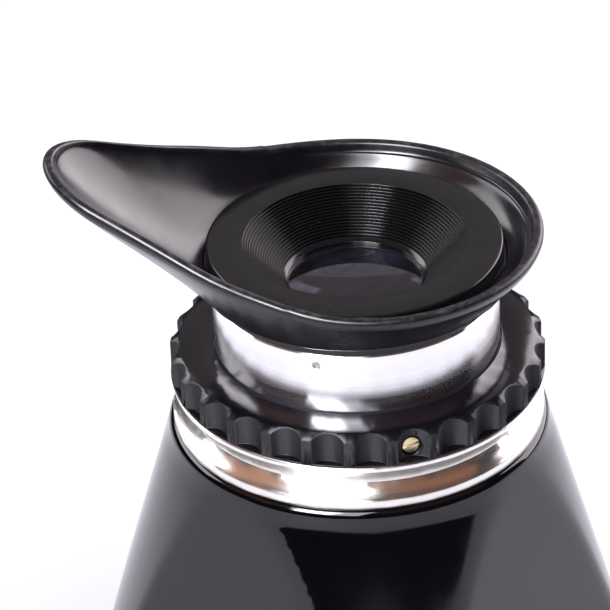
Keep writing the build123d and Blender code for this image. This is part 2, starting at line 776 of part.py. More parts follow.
loft_heights = (cup_bottom_z, cup_bottom_z + lip_height + knee_rise, loft_z)
with BuildPart() as cup_hollow:
    loft(sections=[cup_section(z, slope_share * cup_wall) for z in loft_heights])
    split(bisect_by=Plane.XY.offset(cup_bottom_z + lip_height), keep=Keep.TOP)
with BuildPart() as eyecup:
    loft(sections=[cup_section(z, 0) for z in loft_heights])
    add(cup_hollow.part, mode=Mode.SUBTRACT)
    # lip that turns on the waist of the eyepiece head
    with BuildSketch(Plane.XY.offset(cup_bottom_z)):
        Circle(neck_r + free_gap)
    extrude(amount=lip_height, mode=Mode.SUBTRACT)
    # room for the flange of the eyepiece head
    with BuildSketch(Plane.XY.offset(cup_bottom_z + lip_height)):
        Circle(head_r + free_gap)
    extrude(amount=loft_z - cup_bottom_z, mode=Mode.SUBTRACT)
    # the rim is level round the eye and climbs along the wing
    with BuildSketch(Plane(origin=(0, 0, 0), x_dir=wing_dir, z_dir=side_dir)) as above_rim:
        with BuildLine():
            crest = Spline(
                *[(reach * wing_reach, rim_z + rise * wing_rise) for reach, rise in crest_shape],
                tangents=[(1, 0), (1, 0.1)],
            )
            far = 2 * wing_reach
            above = loft_z + trim_margin
            Polyline(
                crest @ 1,
                (far, (crest @ 1).Y),
                (far, above),
                (-far, above),
                (-far, rim_z),
                crest @ 0,
            )
        make_face()
    extrude(amount=far, both=True, mode=Mode.SUBTRACT)
finish(eyecup, "eyecup")
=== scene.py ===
"""Looks of a magnifying viewfinder hood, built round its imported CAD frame.

Metres, in the frame of the CAD part: +Z along the optical axis, the origin
on that axis at the underside of the foot.  Shapes are worked out in
millimetres and scaled when a mesh is made.
"""

import math

import bpy
from mathutils import Matrix, Vector


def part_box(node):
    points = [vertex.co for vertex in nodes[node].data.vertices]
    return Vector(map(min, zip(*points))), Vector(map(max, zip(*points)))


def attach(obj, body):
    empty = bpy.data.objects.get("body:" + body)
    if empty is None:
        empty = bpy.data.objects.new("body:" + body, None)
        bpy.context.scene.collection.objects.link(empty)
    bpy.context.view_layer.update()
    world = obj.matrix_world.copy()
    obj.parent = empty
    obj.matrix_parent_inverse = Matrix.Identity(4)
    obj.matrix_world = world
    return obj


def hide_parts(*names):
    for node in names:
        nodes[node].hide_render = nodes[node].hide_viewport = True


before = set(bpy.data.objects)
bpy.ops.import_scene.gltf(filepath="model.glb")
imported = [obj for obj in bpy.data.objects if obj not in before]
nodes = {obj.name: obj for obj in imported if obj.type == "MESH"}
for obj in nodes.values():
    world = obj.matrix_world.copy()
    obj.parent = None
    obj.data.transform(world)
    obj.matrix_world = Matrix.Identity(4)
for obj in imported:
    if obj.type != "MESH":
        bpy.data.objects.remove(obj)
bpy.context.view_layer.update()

# ------------------------------------------------------- places from the frame
MM = 0.001
ring_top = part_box("focus_ring")[1].z
head_low, head_top = (corner.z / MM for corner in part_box("eyepiece_head"))
head_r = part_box("eyepiece_head")[1].x / MM
tube_low, tube_high = (corner.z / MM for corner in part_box("eyepiece_tube"))
tube_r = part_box("eyepiece_tube")[1].x / MM
cup_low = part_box("eyecup")[0].z / MM
shell_low, shell_high = (corner.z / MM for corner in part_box("housing_shell"))
shell_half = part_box("housing_shell")[1].x / MM

TAU = 2 * math.pi
AROUND = 288  # steps round the axis in the turned meshes
SHARP = math.radians(35)  # corners above this angle stay sharp


# ----------------------------------------------------------------- mesh tools
def mesh_object(name, verts, faces):
    """A smooth mesh object from points in millimetres."""
    mesh = bpy.data.meshes.new(name)
    mesh.from_pydata([(x * MM, y * MM, z * MM) for x, y, z in verts], [], faces)
    mesh.validate()
    obj = bpy.data.objects.new(name, mesh)
    bpy.context.scene.collection.objects.link(obj)
    for polygon in mesh.polygons:
        polygon.use_smooth = True
    return obj


def closed_spline(controls, steps):
    """Points of a closed quadratic B-spline through the spans of its controls."""
    points = []
    n = len(controls)
    for i in range(n):
        p0, p1, p2 = controls[i - 1], controls[i], controls[(i + 1) % n]
        start = [(a + b) / 2 for a, b in zip(p0, p1)]
        end = [(a + b) / 2 for a, b in zip(p1, p2)]
        for k in range(steps):
            t = k / steps
            points.append([
                (1 - t) ** 2 * s + 2 * t * (1 - t) * m + t * t * e
                for s, m, e in zip(start, p1, end)
            ])
    return points


def ring_of_sections(name, sections):
    """A closed solid from a ring of closed sections with equal counts of points."""
    count = len(sections[0])
    verts = [point for section in sections for point in section]
    faces = []
    for i in range(len(sections)):
        j = (i + 1) % len(sections)
        for k in range(count):
            m = (k + 1) % count
            faces.append((i * count + k, i * count + m, j * count + m, j * count + k))
    return mesh_object(name, verts, faces)


def round_edges(obj, width, angle):
    """Small bright edges, of a width in millimetres, at corners above an angle in degrees."""
    bevel = obj.modifiers.new("edges", "BEVEL")
    bevel.width = width * MM
    bevel.segments = 2
    bevel.limit_method = "ANGLE"
    bevel.angle_limit = math.radians(angle)
    bevel.harden_normals = True
    bevel.use_clamp_overlap = True


def polish(name, width):
    """Small bright edges on a CAD node: its faces stay where they are."""
    obj = nodes[name]
    weld = obj.modifiers.new("weld", "WELD")
    weld.merge_threshold = 2e-6
    round_edges(obj, width, angle=32)
    for polygon in obj.data.polygons:
        polygon.use_smooth = True


# ------------------------------------------------------------- material tools
class Paint:
    """A Principled material with the few nodes that the finishes share."""

    def __init__(self, name, color, roughness, metallic=0.0, **sockets):
        self.material = bpy.data.materials.new(name)
        self.material.use_nodes = True
        self.tree = self.material.node_tree
        self.shader = self.tree.nodes["Principled BSDF"]
        self.set("Base Color", (*color, 1.0))
        self.set("Roughness", roughness)
        self.set("Metallic", metallic)
        for socket, value in sockets.items():
            self.set(socket.replace("_", " "), value)
        self.place = self.node("ShaderNodeTexCoord").outputs["Object"]

    def set(self, socket, value):
        self.shader.inputs[socket].default_value = value

    def node(self, kind, **values):
        made = self.tree.nodes.new(kind)
        for key, value in values.items():
            setattr(made, key, value)
        return made

    def link(self, source, target):
        self.tree.links.new(source, target)

    def math(self, operation, a, b=0.0):
        """One Math node; a and b are numbers or sockets."""
        made = self.node("ShaderNodeMath", operation=operation)
        for slot, value in zip(made.inputs, (a, b)):
            if isinstance(value, (int, float)):
                slot.default_value = value
            else:
                self.link(value, slot)
        return made.outputs[0]

    def stretched(self, scale):
        """The object's coordinates, scaled along X, Y and Z."""
        made = self.node("ShaderNodeMapping")
        made.inputs["Scale"].default_value = scale
        self.link(self.place, made.inputs["Vector"])
        return made.outputs[0]

    def noise(self, per_mm, detail=2.0, vector=None, roughness=0.5):
        """Noise with about this many bumps to the millimetre."""
        made = self.node("ShaderNodeTexNoise")
        made.inputs["Scale"].default_value = per_mm / MM
        made.inputs["Detail"].default_value = detail
        made.inputs["Roughness"].default_value = roughness
        self.link(vector or self.place, made.inputs["Vector"])
        return made.outputs["Fac"]

    def rings(self, per_mm):
        """Turning marks: noise that changes only with height and distance from the axis."""
        x, y, z = self.parts(self.place)
        square = self.math("ADD", self.math("MULTIPLY", x, x), self.math("MULTIPLY", y, y))
        join = self.node("ShaderNodeCombineXYZ")
        self.link(self.math("SQRT", square), join.inputs[0])
        self.link(z, join.inputs[2])
        return self.noise(per_mm, detail=3.0, vector=join.outputs[0], roughness=0.7)

    def parts(self, vector):
        """The X, Y and Z of a vector."""
        split = self.node("ShaderNodeSeparateXYZ")
        self.link(vector, split.inputs[0])
        return split.outputs

    def by_slope(self, low, high, out_low, out_high):
        """A value that follows the upward part of the surface's normal."""
        normal = self.node("ShaderNodeTexCoord").outputs["Normal"]
        return self.range(self.parts(normal)[2], low, high, out_low, out_high)

    def range(self, value, low, high, out_low, out_high):
        """A value mapped from one range to another, held at the ends."""
        made = self.node("ShaderNodeMapRange")
        self.link(value, made.inputs["Value"])
        made.inputs["From Min"].default_value = low
        made.inputs["From Max"].default_value = high
        made.inputs["To Min"].default_value = out_low
        made.inputs["To Max"].default_value = out_high
        return made.outputs[0]

    def specks(self, per_mm, size, share):
        """Dots: 1 inside a dot, 0 elsewhere. share is the part of the cells that hold one."""
        cells = self.node("ShaderNodeTexVoronoi")
        cells.inputs["Scale"].default_value = per_mm / MM
        self.link(self.place, cells.inputs["Vector"])
        dot = self.math("LESS_THAN", cells.outputs["Distance"], size)
        pick = self.node("ShaderNodeSeparateColor")
        self.link(cells.outputs["Color"], pick.inputs[0])
        return self.math("MULTIPLY", dot, self.math("LESS_THAN", pick.outputs[0], share))

    def mix(self, factor, a, b):
        """A colour mix; a and b are colours or sockets."""
        made = self.node("ShaderNodeMix", data_type="RGBA")
        self.link(factor, made.inputs[0])
        for slot, value in zip((made.inputs[6], made.inputs[7]), (a, b)):
            if isinstance(value, tuple):
                slot.default_value = (*value, 1.0)
            else:
                self.link(value, slot)
        return made.outputs[2]

    def bump(self, height, distance_mm, strength=1.0):
        """Surface relief from a 0 to 1 height. Several calls stack up."""
        made = self.node("ShaderNodeBump")
        made.inputs["Strength"].default_value = strength
        made.inputs["Distance"].default_value = distance_mm * MM
        self.link(height, made.inputs["Height"])
        normal = self.shader.inputs["Normal"]
        if normal.is_linked:
            self.link(normal.links[0].from_socket, made.inputs["Normal"])
        self.link(made.outputs[0], normal)

    def drive(self, socket, value):
        self.link(value, self.shader.inputs[socket])


def dress(finish, *names):
    """Give CAD nodes a finish."""
    for name in names:
        slots = nodes[name].data.materials
        slots.clear()
        slots.append(finish.material)


# ------------------------------------------------------------------- finishes
def enamel_finish():
    """Gloss black enamel with a trace of orange peel and a few dust specks."""
    paint = Paint("gloss_black_enamel", (0.004, 0.004, 0.005), 0.07, IOR=1.55)
    dust = paint.specks(0.42, size=0.035, share=0.10)
    paint.drive("Base Color", paint.mix(dust, (0.0032, 0.0030, 0.0052), (0.14, 0.14, 0.16)))
    cloud = paint.noise(0.09, detail=4.0)
    paint.drive("Roughness", paint.range(cloud, 0.35, 0.7, 0.05, 0.10))
    paint.bump(paint.noise(0.35, detail=1.0), 0.010, 0.25)
    return paint


def turned(paint, stretch):
    """Stretch the highlights across the turning marks, which run round the axis."""
    paint.set("Anisotropic", stretch)
    paint.set("Anisotropic Rotation", 0.25)  # a quarter turn, from along the marks to across them
    around = paint.node("ShaderNodeTangent", direction_type="RADIAL", axis="Z")
    paint.link(around.outputs[0], paint.shader.inputs["Tangent"])


def anodised_finish(name, color, level, side, marks, stretch=0.5):
    """Black anodised aluminium with dust and turning marks, finer on the level faces."""
    paint = Paint(name, color, level, IOR=1.5)
    lighter = tuple(min(1.0, c * 1.3 + 0.001) for c in color)
    cloud = paint.range(paint.noise(0.25, detail=4.0), 0.35, 0.7, 0.0, 1.0)
    base = paint.mix(cloud, color, lighter)
    dust = paint.specks(0.9, size=0.05, share=0.05)
    paint.drive("Base Color", paint.mix(dust, base, (0.30, 0.30, 0.32)))
    roughness = paint.by_slope(0.5, 0.95, side, level)
    uneven = paint.range(paint.noise(0.8, detail=4.0), 0.3, 0.7, -0.02, 0.03)
    paint.drive("Roughness", paint.math("ADD", roughness, uneven))
    paint.bump(paint.rings(5.0), 0.004, marks)
    turned(paint, stretch)
    return paint


def turned_metal(name, color, roughness, marks, tarnish=None, stretch=0.6, level=None):
    """Turned metal: rings left by the tool, some tarnish, a roughness for the level faces."""
    paint = Paint(name, color, roughness, 1.0)
    if tarnish:
        patch = paint.range(paint.noise(0.45, detail=6.0, roughness=0.7), 0.62, 0.8, 0.0, 1.0)
        paint.drive("Base Color", paint.mix(patch, color, tarnish))
    grain = paint.range(paint.rings(1.4), 0.3, 0.7, roughness - 0.03, roughness + 0.05)
    if level:
        grain = paint.math("ADD", grain, paint.by_slope(0.85, 0.95, 0.0, level - roughness))
    paint.drive("Roughness", grain)
    paint.bump(paint.rings(6.0), 0.004, marks)
    turned(paint, stretch)
    return paint


def rubber_finish():
    """Satin black rubber: smooth, with a duller worn edge and lint."""
    paint = Paint("eyecup_rubber", (0.010, 0.010, 0.011), 0.25, IOR=1.5)
    wear = paint.node("ShaderNodeAttribute", attribute_name="wear").outputs["Fac"]
    patches = paint.range(paint.noise(0.8, detail=6.0, roughness=0.7), 0.47, 0.64, 0.0, 1.0)
    cloud = paint.range(paint.noise(0.10, detail=5.0), 0.35, 0.7, 0.0, 1.0)
    base = paint.mix(cloud, (0.0070, 0.0062, 0.0095), (0.0120, 0.0105, 0.0150))
    worn = paint.mix(paint.math("MULTIPLY", wear, patches), base, (0.055, 0.050, 0.056))
    lint = paint.specks(0.55, size=0.035, share=0.12)
    paint.drive("Base Color", paint.mix(lint, worn, (0.20, 0.19, 0.19)))
    smooth = paint.range(paint.noise(0.3, detail=5.0), 0.3, 0.7, 0.19, 0.26)
    paint.drive("Roughness", paint.math("ADD", smooth, paint.math("MULTIPLY", wear, 0.12)))
    paint.bump(paint.noise(0.16), 0.05, 0.30)
    paint.bump(paint.noise(4.0, detail=3.0), 0.004, 0.35)
    return paint


def glass_finish(name, tint, ior, clear=1.0):
    """Polished optical glass. Where it isn't quite clear it has a bloom with wiping marks."""
    paint = Paint(name, tint, 0.02, IOR=ior, Transmission_Weight=clear)
    paint.drive("Roughness", paint.range(paint.noise(0.4, detail=5.0), 0.4, 0.75, 0.01, 0.06))
    if clear < 1.0:
        along = paint.stretched((1.0, 0.35, 1.0))
        wiped = paint.noise(0.55, detail=6.0, vector=along, roughness=0.75)
        swirl = paint.range(wiped, 0.40, 0.68, 0.0, 1.0)
        # the swirl darkens and lightens the tint; on the eye lens that tint is painted shade
        dim, bright = tuple(c * 0.7 for c in tint), tuple(c * 1.9 for c in tint)
        paint.drive("Base Color", paint.mix(swirl, dim, bright))
    return paint


enamel = enamel_finish()
ring_black = anodised_finish(
    "focus_ring_black", (0.0055, 0.0050, 0.0095), level=0.13, side=0.90, marks=0.20, stretch=0.80)
head_black = anodised_finish(
    "head_black", (0.006, 0.006, 0.007), level=0.17, side=0.20, marks=0.10)
foot_black = anodised_finish(
    "foot_black", (0.014, 0.014, 0.015), level=0.38, side=0.40, marks=0.0)
inner_black = anodised_finish(
    "inner_black", (0.006, 0.006, 0.006), level=0.55, side=0.55, marks=0.2)
tube_metal = turned_metal("tube_aluminium", (0.95, 0.94, 0.97), 0.16, marks=0.02, stretch=0.86)
chrome = turned_metal(
    "neck_ring_chrome", (0.95, 0.93, 0.89), 0.22,
    marks=0.15, tarnish=(0.75, 0.66, 0.56), stretch=0.85, level=0.5)
sleeve_metal = turned_metal("sleeve_aluminium", (0.62, 0.62, 0.63), 0.30, marks=0.6)
steel = turned_metal(
    "plain_steel", (0.48, 0.47, 0.46), 0.32, marks=0.3, tarnish=(0.30, 0.27, 0.24))
cam_brass = turned_metal(
    "cam_brass", (0.72, 0.55, 0.27), 0.26, marks=0.5, tarnish=(0.45, 0.33, 0.16))
screw_brass = turned_metal(
    "screw_brass", (0.80, 0.68, 0.42), 0.28, marks=0.2, tarnish=(0.50, 0.42, 0.28))
rubber = rubber_finish()
# the eye lens gets a near-black tint and less than full clearness: painted shade for the dark
# inside of the hood seen through it
eye_glass_painted_dark = glass_finish("eye_lens_glass", (0.12, 0.115, 0.165), 1.62, clear=0.95)
crown_glass = glass_finish("crown_glass", (0.90, 0.93, 0.92), 1.52)
flint_glass = glass_finish("flint_glass", (0.93, 0.92, 0.88), 1.62)

dress(foot_black, "foot_frame", "cup_washer")
dress(inner_black, "screen_mask", "lens_spacer", "lens_retainer", "mount_nut")
dress(chrome, "mount_ring")
dress(ring_black, "focus_ring")
dress(sleeve_metal, "guide_sleeve")
dress(cam_brass, "cam_sleeve")
dress(screw_brass, "focus_ring_screws")
dress(steel, "foot_screws", "foot_rail_left", "foot_rail_right", "rail_screws")
dress(steel, "guide_sleeve_screws", "cam_pins", "head_set_screws")
dress(eye_glass_painted_dark, "eye_lens")
dress(crown_glass, "doublet_crown")
dress(flint_glass, "doublet_flint")

# rounding of the edges of the CAD nodes, in millimetres
for part_name, edge in {
    "foot_frame": 0.2, "focus_ring": 0.14, "mount_ring": 0.12, "mount_nut": 0.1, "cup_washer": 0.1,
    "foot_rail_left": 0.1, "foot_rail_right": 0.1, "guide_sleeve": 0.08, "cam_sleeve": 0.08,
    "focus_ring_screws": 0.06, "foot_screws": 0.06, "rail_screws": 0.05, "cam_pins": 0.05,
    "guide_sleeve_screws": 0.05, "lens_retainer": 0.05, "lens_spacer": 0.05, "screen_mask": 0.05,
    "head_set_screws": 0.04,
}.items():
    polish(part_name, edge)
for part_name in ("eye_lens", "doublet_crown", "doublet_flint"):
    for polygon in nodes[part_name].data.polygons:
        polygon.use_smooth = True


# -------------------------------------------------------------- housing shell
SHOULDER_R = 29.88
CORNER_TAPER = 0.291
FLAT_TAPER = 0.095
SHELL_WALL = 1.8
SHOULDER_DROP = 1.7  # the rounded shoulder, down and inward
SHOULDER_IN = 1.3
NECK_PLATE = 3.0
NECK_BORE = 27.2
WINDOW_HALF = 28.5
WINDOW_ROUND = 5.0
FLANGE = 3.5
CORNER_BLEND = 0.35  # rounding where a flat meets the cone
WALL_ROWS = 24
SHOULDER_ROWS = 8
INNER_ROWS = 12


def soft_min(a, b, width):
    """The smaller of a and b, rounded where they cross."""
    h = max(0.0, min(1.0, 0.5 + 0.5 * (b - a) / width))
    return b * (1 - h) + a * h - width * h * (1 - h)


def shell_r(angle, z, inset):
    """Distance of the shell from the axis: a cone cut by four flats."""
    drop = shell_high - z
    flat = shell_half - FLAT_TAPER * (z - shell_low) - inset
    cone = SHOULDER_R + CORNER_TAPER * drop - inset
    off = abs((angle + math.pi / 4) % (math.pi / 2) - math.pi / 4)
    return soft_min(cone, flat / math.cos(off), CORNER_BLEND)


def rounded_square_r(angle, half, corner):
    """Distance from the centre of a square with rounded corners."""
    off = abs((angle + math.pi / 4) % (math.pi / 2) - math.pi / 4)
    side = half / math.cos(off)
    middle = half - corner
    along = middle * (math.cos(off) + math.sin(off))
    inside = corner**2 - (2 * middle**2 - along**2)
    if inside <= 0 or half * math.tan(off) <= middle:
        return side
    return along + math.sqrt(inside)


def housing():
    """The gloss black shell, with its rounded shoulder and the hollow inside."""
    low, high = shell_low + FLANGE, shell_high - NECK_PLATE
    foot_of_shoulder = shell_high - SHOULDER_DROP
    sections = []
    for i in range(AROUND):
        a = TAU * i / AROUND
        section = []
        # outside, from the foot up to the shoulder
        for k in range(WALL_ROWS + 1):
            z = shell_low + (foot_of_shoulder - shell_low) * k / WALL_ROWS
            section.append((shell_r(a, z, 0.0), z))
        # the shoulder turns over in a quarter of an ellipse
        side = shell_r(a, foot_of_shoulder, 0.0)
        for k in range(1, SHOULDER_ROWS + 1):
            t = math.pi / 2 * k / SHOULDER_ROWS
            section.append((
                side - SHOULDER_IN * (1 - math.cos(t)),
                shell_high - SHOULDER_DROP * (1 - math.sin(t)),
            ))
        section += [(NECK_BORE, shell_high), (NECK_BORE, high)]
        # inside, down to the flange
        for k in range(INNER_ROWS + 1):
            z = high + (low - high) * k / INNER_ROWS
            section.append((shell_r(a, z, SHELL_WALL), z))
        window = rounded_square_r(a, WINDOW_HALF, WINDOW_ROUND)
        section += [(window, low), (window, shell_low)]
        sections.append([(r * math.cos(a), r * math.sin(a), z) for r, z in section])
    return ring_of_sections("housing_body", sections)


shell = housing()
shell.data.materials.append(enamel.material)
round_edges(shell, width=0.25, angle=40)
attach(shell, "housing")
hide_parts("housing_shell")

# -------------------------------------------------------------- eyepiece tube
TUBE_WALL = 1.6
TUBE_CHAMFER = 0.25
SCREW_ANGLE = math.radians(-67.8)
SCREW_COUNT = 3
SCREW_R = 0.7
SCREW_DROP = 1.9
HOLE_DEPTH = 0.6
HOLE_CELLS = 4  # the hole lies in a square patch of this many cells a side
HOLE_BLEND = 0.55  # a loop this far from the square edge of the patch to the round hole
TUBE_ROWS = 24


def tube():
    """The sliding tube, with small screw holes near its top."""
    cell = TAU * tube_r / AROUND
    hole_z = tube_high - SCREW_DROP
    first = hole_z - HOLE_CELLS / 2 * cell
    rows = [tube_low + (first - tube_low) * k / TUBE_ROWS for k in range(TUBE_ROWS)]
    rows += [first + cell * k for k in range(HOLE_CELLS + 1)]
    rows.append(tube_high - TUBE_CHAMFER)
    bore = tube_r - TUBE_WALL
    profile = [(tube_r, z) for z in rows]
    profile += [(tube_r - TUBE_CHAMFER, tube_high), (bore, tube_high), (bore, tube_low)]
    turn = SCREW_ANGLE - TAU / AROUND * HOLE_CELLS / 2
    count = len(profile)
    verts = []
    for i in range(AROUND):
        a = turn + TAU * i / AROUND
        verts += [(r * math.cos(a), r * math.sin(a), z) for r, z in profile]
    starts = [screw * AROUND // SCREW_COUNT for screw in range(SCREW_COUNT)]
    patches = {start + i for start in starts for i in range(HOLE_CELLS)}
    patch_rows = range(TUBE_ROWS, TUBE_ROWS + HOLE_CELLS)
    faces = []
    for i in range(AROUND):
        j = (i + 1) % AROUND
        for k in range(count):
            if i in patches and k in patch_rows:
                continue
            m = (k + 1) % count
            faces.append((i * count + k, j * count + k, j * count + m, i * count + m))
    # the square edge of a patch, once round, as cells across and cells up
    edge = [(i, 0) for i in range(HOLE_CELLS)]
    edge += [(HOLE_CELLS, k) for k in range(HOLE_CELLS)]
    edge += [(HOLE_CELLS - i, HOLE_CELLS) for i in range(HOLE_CELLS)]
    edge += [(0, HOLE_CELLS - k) for k in range(HOLE_CELLS)]
    for start in starts:
        loops = [[(start + i) % AROUND * count + TUBE_ROWS + k for i, k in edge]]
        middle = turn + TAU * (start + HOLE_CELLS / 2) / AROUND
        for share, r in ((HOLE_BLEND, tube_r), (1.0, tube_r), (1.0, tube_r - HOLE_DEPTH)):
            loop = []
            for i, k in edge:
                across = (i - HOLE_CELLS / 2) * cell
                up = (k - HOLE_CELLS / 2) * cell
                scale = (1 - share) + share * SCREW_R / math.hypot(across, up)
                a = middle + across * scale / tube_r
                loop.append(len(verts))
                verts.append((r * math.cos(a), r * math.sin(a), hole_z + up * scale))
            loops.append(loop)
        for outer, inner in zip(loops, loops[1:]):
            for k in range(len(edge)):
                m = (k + 1) % len(edge)
                faces.append((outer[k], outer[m], inner[m], inner[k]))
    obj = mesh_object("tube_body", verts, faces)
    obj.data.set_sharp_from_angle(angle=SHARP)
    return obj


sleeve = tube()
sleeve.data.materials.append(tube_metal.material)
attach(sleeve, "eyepiece")
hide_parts("eyepiece_tube")

# -------------------------------------------------------------- eyepiece head
HEAD_ROUND = 0.4  # outer edge of the flange
FLANGE_EDGE = 2.5
NECK_STEP = 0.7  # waist inside the surface of the tube
CONE_TOP_R = 17.4
CONE_DEPTH = 6.2
OPENING_R = 10.6
SHELF_THICKNESS = 0.9
LEDGE_WIDTH = 0.65  # sloping ledge at the foot of the cone
LEDGE_DROP = 0.40
LENS_CELL_R = 16.35
GROOVES = 17
GROOVE_UNDERCUT = 0.10
CREST_ROUND = 0.055


def fan(center_r, center_z, radius, start, end, steps):
    """Points of an arc in the profile plane, from one angle to another in degrees."""
    points = []
    for k in range(steps + 1):
        t = math.radians(start + (end - start) * k / steps)
        points.append((center_r + radius * math.cos(t), center_z + radius * math.sin(t)))
    return points


def head_profile():
    """Closed (r, z) profile of the head, and the span of it that is the lens cell."""
    foot_r = OPENING_R + LEDGE_WIDTH
    points = fan(head_r - HEAD_ROUND, head_top - HEAD_ROUND, HEAD_ROUND, 0, 90, 5)
    # fine grooves down the cone: a rounded crest, a face that leans back, a tread
    pitch_in = (CONE_TOP_R - foot_r) / GROOVES
    pitch_down = CONE_DEPTH / GROOVES
    for i in range(GROOVES):
        crest_r = CONE_TOP_R - pitch_in * i
        crest_z = head_top - pitch_down * i
        points += fan(crest_r + CREST_ROUND, crest_z - CREST_ROUND, CREST_ROUND, 90, 200, 4)
        points.append((crest_r + GROOVE_UNDERCUT, crest_z - pitch_down))
    # the ledge
    low = head_top - CONE_DEPTH
    points += fan(foot_r + CREST_ROUND, low - CREST_ROUND, CREST_ROUND, 90, 150, 2)
    ledge_low = low - LEDGE_DROP
    points.append((OPENING_R + CREST_ROUND, ledge_low))
    points += fan(OPENING_R + CREST_ROUND, ledge_low - CREST_ROUND, CREST_ROUND, 125, 180, 2)
    # the lens cell
    bore = tube_r - TUBE_WALL
    shelf = low - SHELF_THICKNESS
    cell_start = len(points)
    points += [(OPENING_R, shelf), (LENS_CELL_R, shelf), (LENS_CELL_R, head_low), (bore, head_low)]
    cell_end = len(points)
    # outside, up to the flange
    waist = tube_r - NECK_STEP
    rim_low = head_top - FLANGE_EDGE
    points += [(bore, tube_high), (waist, tube_high), (waist, rim_low), (head_r, rim_low)]
    return points, range(cell_start, cell_end)


def turned_solid(name, profile):
    """A closed profile spun round the axis, with its corners kept sharp."""
    sections = []
    for i in range(AROUND):
        a = -TAU * i / AROUND
        sections.append([(r * math.cos(a), r * math.sin(a), z) for r, z in profile])
    obj = ring_of_sections(name, sections)
    obj.data.set_sharp_from_angle(angle=SHARP)
    return obj


head_points, cell_span = head_profile()
head = turned_solid("head_body", head_points)
head.data.materials.append(head_black.material)
head.data.materials.append(inner_black.material)
for face in head.data.polygons:
    if face.index % len(head_points) in cell_span:
        face.material_index = 1
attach(head, "eyepiece")
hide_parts("eyepiece_head")

# --------------------------------------------------------------------- eyecup
WING = math.radians(-137.1)  # direction of the wing
BODY_R = 28.4  # rim round the eye
BODY_SHIFT = 0.8  # its centre lies this far from the wing
TIP_PLACE = 34.3  # centre of the round tip of the wing
TIP_R = 13.0
RIM_RISE = 7.3  # level part of the rim above the foot of the cup
WING_SLOPE = 0.46
WING_START = 14.0
WING_EASE = 6.0
CUP_WALL = 1.7
LIP_R = 22.1  # bore of the foot, round the waist of the head
LIP_HEIGHT = 2.4
FOOT_R = 24.4
STEP_R = 23.5  # outer edge of the step that sits over the flange of the head
VALLEY_R = 24.9  # where the inside of the cup starts to rise
VALLEY_DROP = 1.7  # below the top of the head
SWELL = 0.9  # the rim stands out a little where the wing leaves the body
SWELL_ANGLE = 41.0
SWELL_SPREAD = 13.0
RIM_BLEND = 0.6
CUP_AROUND = 240
WEAR_REACH = 1.1  # wear fades out this far below the crest of the rim
WEAR_WIDTH = 2.6


def rim_r(off):
    """Distance of the rim from the axis, at an angle from the wing."""
    off = abs((off + math.pi) % TAU - math.pi)
    body = math.sqrt(BODY_R**2 - (BODY_SHIFT * math.sin(off)) ** 2) - BODY_SHIFT * math.cos(off)
    lean = math.acos((BODY_R - TIP_R) / TIP_PLACE)
    reach = body
    if off < lean:
        line = BODY_R / math.cos(lean - off)
        across = TIP_PLACE * math.sin(off)
        tip_touch = math.atan2(TIP_R * math.sin(lean), TIP_PLACE + TIP_R * math.cos(lean))
        if off < tip_touch:
            line = TIP_PLACE * math.cos(off) + math.sqrt(TIP_R**2 - across**2)
        reach = line
    swell = SWELL * math.exp(-((math.degrees(off) - SWELL_ANGLE) / SWELL_SPREAD) ** 2)
    return -soft_min(-reach, -body, RIM_BLEND) + swell


def rim_z(x):
    """Height of the rim, level round the eye and climbing along the wing."""
    climb = WING_EASE * math.log(1 + math.exp((x - WING_START) / WING_EASE))
    return cup_low + RIM_RISE + WING_SLOPE * climb


def cup_section(off):
    """Closed section of the cup at an angle from the wing, as (r, z)."""
    r = rim_r(off)
    z = rim_z(r * math.cos(off))
    valley_z = head_top - VALLEY_DROP
    rise = z - valley_z
    inner = r - CUP_WALL
    run = inner - VALLEY_R
    lip_z = cup_low + LIP_HEIGHT
    # the lip, the step over it and the wall up to the rim
    controls = [
        (LIP_R, cup_low + 0.05), (LIP_R, cup_low + 0.4), (LIP_R, lip_z - 0.4), (LIP_R, lip_z),
        (LIP_R + 0.4, lip_z), (STEP_R, lip_z), (STEP_R + 0.1, lip_z + 0.1),
        (STEP_R + 0.2, lip_z + 0.5), (STEP_R + 0.5, valley_z - 0.6),
    ]
    for along, up in ((0.05, 0.02), (0.35, 0.25), (0.70, 0.60)):
        controls.append((VALLEY_R + along * run, valley_z + up * rise))
    # the rolled rim
    controls += [
        (inner - 0.35, z - 1.5), (inner, z - 0.55), (inner + 0.15, z - 0.05), (r - 0.95, z + 0.15),
        (r - 0.2, z + 0.05), (r + 0.1, z - 0.6), (r - 0.2, z - 1.3),
    ]
    # outside, down to the foot
    top_r, top_z = r - 0.55, z - 2.0
    for share in (0.0, 0.3, 0.6, 0.85):
        controls.append((
            top_r + (FOOT_R + 0.5 - top_r) * share,
            top_z + (cup_low + 1.0 - top_z) * share,
        ))
    controls += [
        (FOOT_R + 0.35, cup_low + 0.7), (FOOT_R, cup_low + 0.1), (FOOT_R - 0.5, cup_low),
        (LIP_R + 0.4, cup_low),
    ]
    return closed_spline(controls, steps=4)


def eyecup():
    """The winged rubber cup, with a rolled rim. Its attribute wear is 1 on the crest."""
    sections = []
    crest = []
    for i in range(CUP_AROUND):
        off = TAU * i / CUP_AROUND
        a = WING + off
        section = cup_section(off)
        sections.append([(r * math.cos(a), r * math.sin(a), z) for r, z in section])
        edge = rim_r(off)
        top = rim_z(edge * math.cos(off)) + 0.15
        for r, z in section:
            on_rim = r > edge - WEAR_WIDTH
            crest.append(max(0.0, 1.0 - abs(top - z) / WEAR_REACH) if on_rim else 0.0)
    obj = ring_of_sections("eyecup_rubber", sections)
    wear = obj.data.attributes.new("wear", "FLOAT", "POINT")
    wear.data.foreach_set("value", crest)
    return obj


cup = eyecup()
cup.data.materials.append(rubber.material)
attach(cup, "eyecup")
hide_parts("eyecup")


# ------------------------------------------------------------ floor and light
FLOOR_HALF = 480
FLOOR_DROP = 0.05  # clear of the underside of the foot
VIEW_AZIMUTH = 38.5
VIEW_ELEVATION = 31.95


